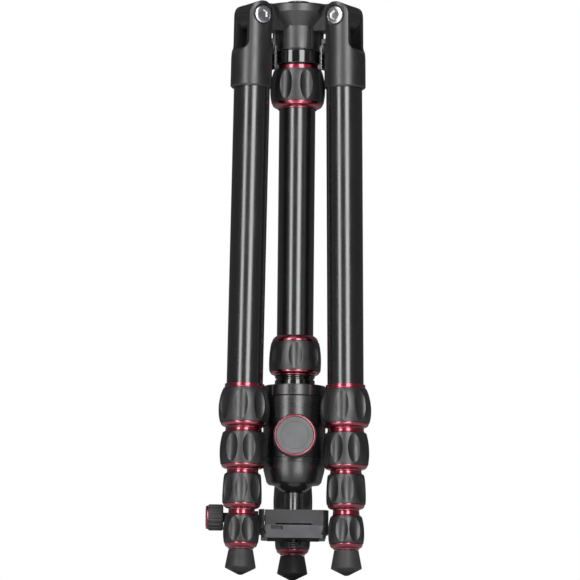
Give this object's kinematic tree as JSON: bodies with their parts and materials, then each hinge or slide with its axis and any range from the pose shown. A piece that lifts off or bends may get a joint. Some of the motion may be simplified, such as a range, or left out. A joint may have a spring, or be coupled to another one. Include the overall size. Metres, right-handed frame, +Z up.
{
  "type": "travel tripod",
  "caption": "Compact travel tripod with ball head, folded: legs with twist locks swung back round the column and head.",
  "frame": {"origin": "on the column axis, in the plane on which the tips of the three feet stand", "axes": "+Z up along the column as the folded tripod stands, -Y towards the camera side, +X to the right seen from there"},
  "size_m": [0.0997, 0.0838, 0.3546],
  "materials": {
    "tube": "gloss black",
    "grip": "matt",
    "foot_rubber": "matt",
    "casting": "satin black",
    "stop_grey": "satin",
    "gloss_ring": "gloss",
    "bright_steel": "bright",
    "clamp_grey": "satin anodised",
    "plate_grey": "satin anodised",
    "pad_rubber": "matt",
    "cup_plastic": "matt",
    "ball_metal": "satin anodised",
    "knob_black": "matt",
    "cap_grey": "satin",
    "head_black": "satin black"
  },
  "bodies": {
    "crown": {"crown": "casting", "column_seat": "gloss_ring", "hinge_bolts": "bright_steel"},
    "leg_a": {"shoulder_a": "casting", "leg_tube_1_a": "tube"},
    "stop_a": {"angle_stop_a": "stop_grey"},
    "lock_1_a": {"leg_lock_1_a": "grip"},
    "section_2_a": {"leg_tube_2_a": "tube"},
    "lock_2_a": {"leg_lock_2_a": "grip"},
    "section_3_a": {"leg_tube_3_a": "tube"},
    "lock_3_a": {"leg_lock_3_a": "grip"},
    "section_4_a": {"leg_tube_4_a": "tube"},
    "lock_4_a": {"leg_lock_4_a": "grip"},
    "section_5_a": {"leg_tube_5_a": "tube", "foot_a": "foot_rubber"},
    "leg_b": {"shoulder_b": "casting", "leg_tube_1_b": "tube"},
    "stop_b": {"angle_stop_b": "stop_grey"},
    "lock_1_b": {"leg_lock_1_b": "grip"},
    "section_2_b": {"leg_tube_2_b": "tube"},
    "lock_2_b": {"leg_lock_2_b": "grip"},
    "section_3_b": {"leg_tube_3_b": "tube"},
    "lock_3_b": {"leg_lock_3_b": "grip"},
    "section_4_b": {"leg_tube_4_b": "tube"},
    "lock_4_b": {"leg_lock_4_b": "grip"},
    "section_5_b": {"leg_tube_5_b": "tube", "foot_b": "foot_rubber"},
    "leg_c": {"shoulder_c": "casting", "leg_tube_1_c": "tube"},
    "stop_c": {"angle_stop_c": "stop_grey"},
    "lock_1_c": {"leg_lock_1_c": "grip"},
    "section_2_c": {"leg_tube_2_c": "tube"},
    "lock_2_c": {"leg_lock_2_c": "grip"},
    "section_3_c": {"leg_tube_3_c": "tube"},
    "lock_3_c": {"leg_lock_3_c": "grip"},
    "section_4_c": {"leg_tube_4_c": "tube"},
    "lock_4_c": {"leg_lock_4_c": "grip"},
    "section_5_c": {"leg_tube_5_c": "tube", "foot_c": "foot_rubber"},
    "column": {"column_tube": "tube", "column_cap": "cap_grey"},
    "column_lock_1": {"column_lock_1": "grip"},
    "hook": {"column_hook": "bright_steel"},
    "column_lock_2": {"column_lock_2": "grip"},
    "post": {"column_post": "tube", "head_foot_ring": "gloss_ring", "pan_base": "head_black"},
    "head": {"head_housing": "head_black", "head_collar": "head_black", "ball_cup": "cup_plastic"},
    "main_knob": {"main_knob": "knob_black"},
    "pan_knob": {"pan_knob": "knob_black"},
    "ball": {"ball": "ball_metal"},
    "stem": {"ball_stem": "ball_metal"},
    "clamp": {"clamp_body": "clamp_grey"},
    "jaw": {"clamp_jaw": "clamp_grey"},
    "clamp_knob": {"clamp_knob": "clamp_grey"},
    "plate": {"quick_plate": "plate_grey", "plate_pad": "pad_rubber"},
    "camera_screw": {"camera_screw": "bright_steel"}
  },
  "joints": [
    {"name": "leg_a_hinge", "type": "hinge", "parent": "crown", "child": "leg_a", "pos_m": [-0.02763, -0.01595, 0.34146], "axis": [-0.5, 0.866, 0], "range_deg": [0, 180]},
    {"name": "angle_stop_a_pull", "type": "slide", "parent": "leg_a", "child": "stop_a", "axis": [0.8659, 0.4999, -0.0148], "range_m": [0, 0.0015], "stiffness_N_per_m": 500, "springref_m": -0.004},
    {"name": "leg_lock_1_a_twist", "type": "hinge", "parent": "leg_a", "child": "lock_1_a", "pos_m": [-0.0302, -0.01743, 0.14148], "axis": [-0.0128, -0.0074, -0.9999], "range_deg": [0, 120]},
    {"name": "section_2_a_slide", "type": "slide", "parent": "leg_a", "child": "section_2_a", "axis": [-0.0128, -0.0074, -0.9999], "range_m": [0, 0.18]},
    {"name": "leg_lock_2_a_twist", "type": "hinge", "parent": "section_2_a", "child": "lock_2_a", "pos_m": [-0.0302, -0.01743, 0.14148], "axis": [-0.0128, -0.0074, -0.9999], "range_deg": [0, 120]},
    {"name": "section_3_a_slide", "type": "slide", "parent": "section_2_a", "child": "section_3_a", "axis": [-0.0128, -0.0074, -0.9999], "range_m": [0, 0.203]},
    {"name": "leg_lock_3_a_twist", "type": "hinge", "parent": "section_3_a", "child": "lock_3_a", "pos_m": [-0.0302, -0.01743, 0.14148], "axis": [-0.0128, -0.0074, -0.9999], "range_deg": [0, 120]},
    {"name": "section_4_a_slide", "type": "slide", "parent": "section_3_a", "child": "section_4_a", "axis": [-0.0128, -0.0074, -0.9999], "range_m": [0, 0.225]},
    {"name": "leg_lock_4_a_twist", "type": "hinge", "parent": "section_4_a", "child": "lock_4_a", "pos_m": [-0.0302, -0.01743, 0.14148], "axis": [-0.0128, -0.0074, -0.9999], "range_deg": [0, 120]},
    {"name": "section_5_a_slide", "type": "slide", "parent": "section_4_a", "child": "section_5_a", "axis": [-0.0128, -0.0074, -0.9999], "range_m": [0, 0.247]},
    {"name": "leg_b_hinge", "type": "hinge", "parent": "crown", "child": "leg_b", "pos_m": [0.02763, -0.01595, 0.34146], "axis": [-0.5, -0.866, 0], "range_deg": [0, 180]},
    {"name": "angle_stop_b_pull", "type": "slide", "parent": "leg_b", "child": "stop_b", "axis": [-0.8659, 0.4999, -0.0148], "range_m": [0, 0.0015], "stiffness_N_per_m": 500, "springref_m": -0.004},
    {"name": "leg_lock_1_b_twist", "type": "hinge", "parent": "leg_b", "child": "lock_1_b", "pos_m": [0.0302, -0.01743, 0.14148], "axis": [0.0128, -0.0074, -0.9999], "range_deg": [0, 120]},
    {"name": "section_2_b_slide", "type": "slide", "parent": "leg_b", "child": "section_2_b", "axis": [0.0128, -0.0074, -0.9999], "range_m": [0, 0.18]},
    {"name": "leg_lock_2_b_twist", "type": "hinge", "parent": "section_2_b", "child": "lock_2_b", "pos_m": [0.0302, -0.01743, 0.14148], "axis": [0.0128, -0.0074, -0.9999], "range_deg": [0, 120]},
    {"name": "section_3_b_slide", "type": "slide", "parent": "section_2_b", "child": "section_3_b", "axis": [0.0128, -0.0074, -0.9999], "range_m": [0, 0.203]},
    {"name": "leg_lock_3_b_twist", "type": "hinge", "parent": "section_3_b", "child": "lock_3_b", "pos_m": [0.0302, -0.01743, 0.14148], "axis": [0.0128, -0.0074, -0.9999], "range_deg": [0, 120]},
    {"name": "section_4_b_slide", "type": "slide", "parent": "section_3_b", "child": "section_4_b", "axis": [0.0128, -0.0074, -0.9999], "range_m": [0, 0.225]},
    {"name": "leg_lock_4_b_twist", "type": "hinge", "parent": "section_4_b", "child": "lock_4_b", "pos_m": [0.0302, -0.01743, 0.14148], "axis": [0.0128, -0.0074, -0.9999], "range_deg": [0, 120]},
    {"name": "section_5_b_slide", "type": "slide", "parent": "section_4_b", "child": "section_5_b", "axis": [0.0128, -0.0074, -0.9999], "range_m": [0, 0.247]},
    {"name": "leg_c_hinge", "type": "hinge", "parent": "crown", "child": "leg_c", "pos_m": [0, 0.0319, 0.34146], "axis": [1, 0, 0], "range_deg": [0, 180]},
    {"name": "angle_stop_c_pull", "type": "slide", "parent": "leg_c", "child": "stop_c", "axis": [0, -0.9999, -0.0148], "range_m": [0, 0.0015], "stiffness_N_per_m": 500, "springref_m": -0.004},
    {"name": "leg_lock_1_c_twist", "type": "hinge", "parent": "leg_c", "child": "lock_1_c", "pos_m": [0, 0.03487, 0.14148], "axis": [0, 0.0148, -0.9999], "range_deg": [0, 120]},
    {"name": "section_2_c_slide", "type": "slide", "parent": "leg_c", "child": "section_2_c", "axis": [0, 0.0148, -0.9999], "range_m": [0, 0.18]},
    {"name": "leg_lock_2_c_twist", "type": "hinge", "parent": "section_2_c", "child": "lock_2_c", "pos_m": [0, 0.03487, 0.14148], "axis": [0, 0.0148, -0.9999], "range_deg": [0, 120]},
    {"name": "section_3_c_slide", "type": "slide", "parent": "section_2_c", "child": "section_3_c", "axis": [0, 0.0148, -0.9999], "range_m": [0, 0.203]},
    {"name": "leg_lock_3_c_twist", "type": "hinge", "parent": "section_3_c", "child": "lock_3_c", "pos_m": [0, 0.03487, 0.14148], "axis": [0, 0.0148, -0.9999], "range_deg": [0, 120]},
    {"name": "section_4_c_slide", "type": "slide", "parent": "section_3_c", "child": "section_4_c", "axis": [0, 0.0148, -0.9999], "range_m": [0, 0.225]},
    {"name": "leg_lock_4_c_twist", "type": "hinge", "parent": "section_4_c", "child": "lock_4_c", "pos_m": [0, 0.03487, 0.14148], "axis": [0, 0.0148, -0.9999], "range_deg": [0, 120]},
    {"name": "section_5_c_slide", "type": "slide", "parent": "section_4_c", "child": "section_5_c", "axis": [0, 0.0148, -0.9999], "range_m": [0, 0.247]},
    {"name": "column_lock_1_twist", "type": "hinge", "parent": "crown", "child": "column_lock_1", "pos_m": [0, 0, 0.3], "axis": [0, 0, 1], "range_deg": [0, 120]},
    {"name": "column_slide", "type": "slide", "parent": "crown", "child": "column", "axis": [0, 0, 1], "range_m": [0, 0.03]},
    {"name": "hook_pull", "type": "slide", "parent": "column", "child": "hook", "axis": [0, 0, 1], "range_m": [0, 0.012], "stiffness_N_per_m": 300, "springref_m": -0.004},
    {"name": "column_lock_2_twist", "type": "hinge", "parent": "column", "child": "column_lock_2", "pos_m": [0, 0, 0.135], "axis": [0, 0, 1], "range_deg": [0, 120]},
    {"name": "post_slide", "type": "slide", "parent": "column", "child": "post", "axis": [0, 0, -1], "range_m": [0, 0.17]},
    {"name": "head_pan", "type": "hinge", "parent": "post", "child": "head", "pos_m": [0, 0, 0.11], "axis": [0, 0, 1], "range_deg": [-10, 8]},
    {"name": "main_knob_turn", "type": "hinge", "parent": "head", "child": "main_knob", "pos_m": [0, -0.02, 0.0836], "axis": [0, -1, 0], "range_deg": [0, 540]},
    {"name": "pan_knob_turn", "type": "hinge", "parent": "head", "child": "pan_knob", "pos_m": [-0.01732, 0.01, 0.1054], "axis": [-0.866, 0.5, 0], "range_deg": [0, 540]},
    {"name": "ball_tilt_fore", "type": "hinge", "parent": "head", "child": "ball", "pos_m": [0, 0, 0.0651], "axis": [1, 0, 0], "range_deg": [-9, 7]},
    {"name": "ball_tilt_side", "type": "hinge", "parent": "ball", "child": "stem", "pos_m": [0, 0, 0.0651], "axis": [0, -1, 0], "range_deg": [-6, 6]},
    {"name": "ball_spin", "type": "hinge", "parent": "stem", "child": "clamp", "pos_m": [0, 0, 0.045], "axis": [0, 0, 1], "range_deg": [-30, 8]},
    {"name": "clamp_jaw_slide", "type": "slide", "parent": "clamp", "child": "jaw", "axis": [-1, 0, 0], "range_m": [0, 0.0015]},
    {"name": "clamp_knob_turn", "type": "hinge", "parent": "jaw", "child": "clamp_knob", "pos_m": [-0.03, 0, 0.0357], "axis": [-1, 0, 0], "range_deg": [0, 540]},
    {"name": "plate_slide", "type": "slide", "parent": "clamp", "child": "plate", "axis": [0, -1, 0], "range_m": [-0.005, 0.028]},
    {"name": "camera_screw_turn", "type": "hinge", "parent": "plate", "child": "camera_screw", "pos_m": [0, 0.0038, 0.02], "axis": [0, 0, -1], "range_deg": [0, 720]}
  ],
  "couplings": [
    {"joint": "clamp_knob_turn", "follows": "clamp_jaw_slide", "rad_per_m": 6283.2}
  ]
}
